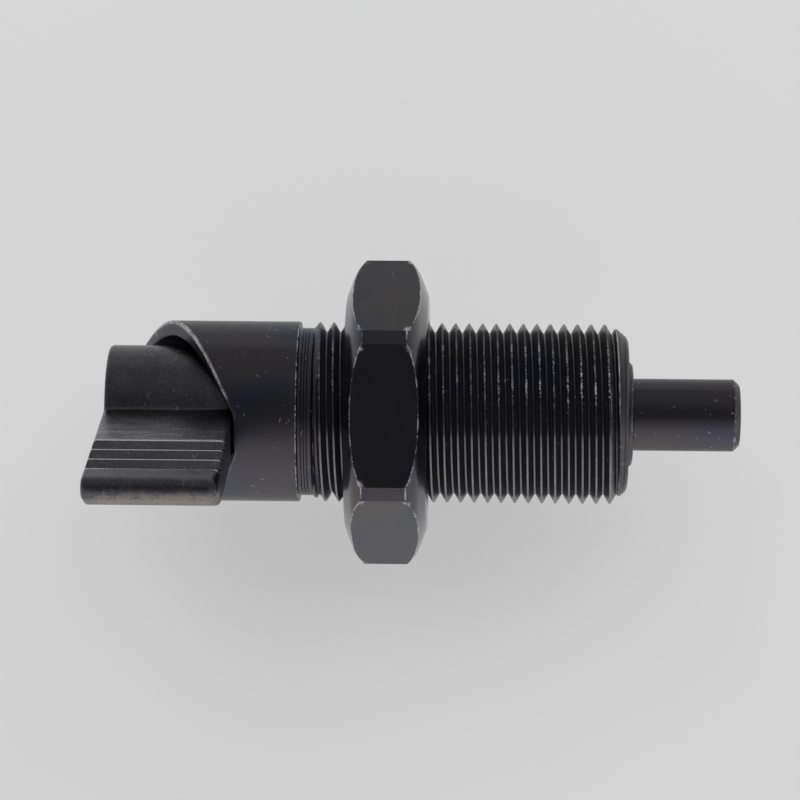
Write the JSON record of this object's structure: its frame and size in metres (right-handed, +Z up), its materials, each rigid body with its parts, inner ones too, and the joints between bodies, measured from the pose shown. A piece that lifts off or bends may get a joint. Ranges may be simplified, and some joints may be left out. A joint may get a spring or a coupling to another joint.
{
  "type": "cam-action index plunger",
  "caption": "Index plunger with a quarter-leaf thumb lever that turns on a cam-cut collar to draw back its pin, fine-threaded body and thin hexagon lock nut.",
  "frame": {"origin": "on the plunger's axis, in the shoulder where the plain collar ends and the threaded body begins", "axes": "+X along the axis towards the tip of the pin, +Z up from the nut's flat that it lies on, the lever's wing leaning up and forward"},
  "size_m": [0.0698, 0.0336, 0.0437],
  "materials": {
    "sleeve_steel": "turned and milled, satin black oxide",
    "nut_steel": "satin black oxide, bright worn corners",
    "lever_steel": "cast skin under matte black oxide",
    "pin_steel": "ground, satin black oxide",
    "bush_steel": "turned, satin black oxide",
    "spring_wire": "drawn spring wire, oiled",
    "washer_steel": "stamped, bright",
    "cross_pin_steel": "ground, bright"
  },
  "bodies": {
    "sleeve": {"threaded_sleeve": "sleeve_steel", "guide_bush": "bush_steel", "compression_spring": "spring_wire"},
    "nut": {"lock_nut": "nut_steel"},
    "thrust_washer": {"spring_seat_washer": "washer_steel"},
    "lever_and_pin": {"cam_lever": "lever_steel", "index_pin": "pin_steel", "lever_cross_pin": "cross_pin_steel"}
  },
  "joints": [
    {"name": "lever_lift", "type": "slide", "parent": "sleeve", "child": "thrust_washer", "axis": [-1, 0, 0], "range_m": [0, 0.012], "stiffness_N_per_m": 1660, "springref_m": -0.0093, "deforming": ["compression_spring"]},
    {"name": "lever_turn", "type": "hinge", "parent": "thrust_washer", "child": "lever_and_pin", "pos_m": [0, 0, 0], "axis": [1, 0, 0], "range_deg": [0, 180]},
    {"name": "nut_travel", "type": "slide", "parent": "sleeve", "child": "nut", "axis": [1, 0, 0], "range_m": [-0.003, 0.0195]}
  ],
  "couplings": [
    {"joint": "lever_turn", "follows": "lever_lift", "rad_per_m": 261.8}
  ]
}
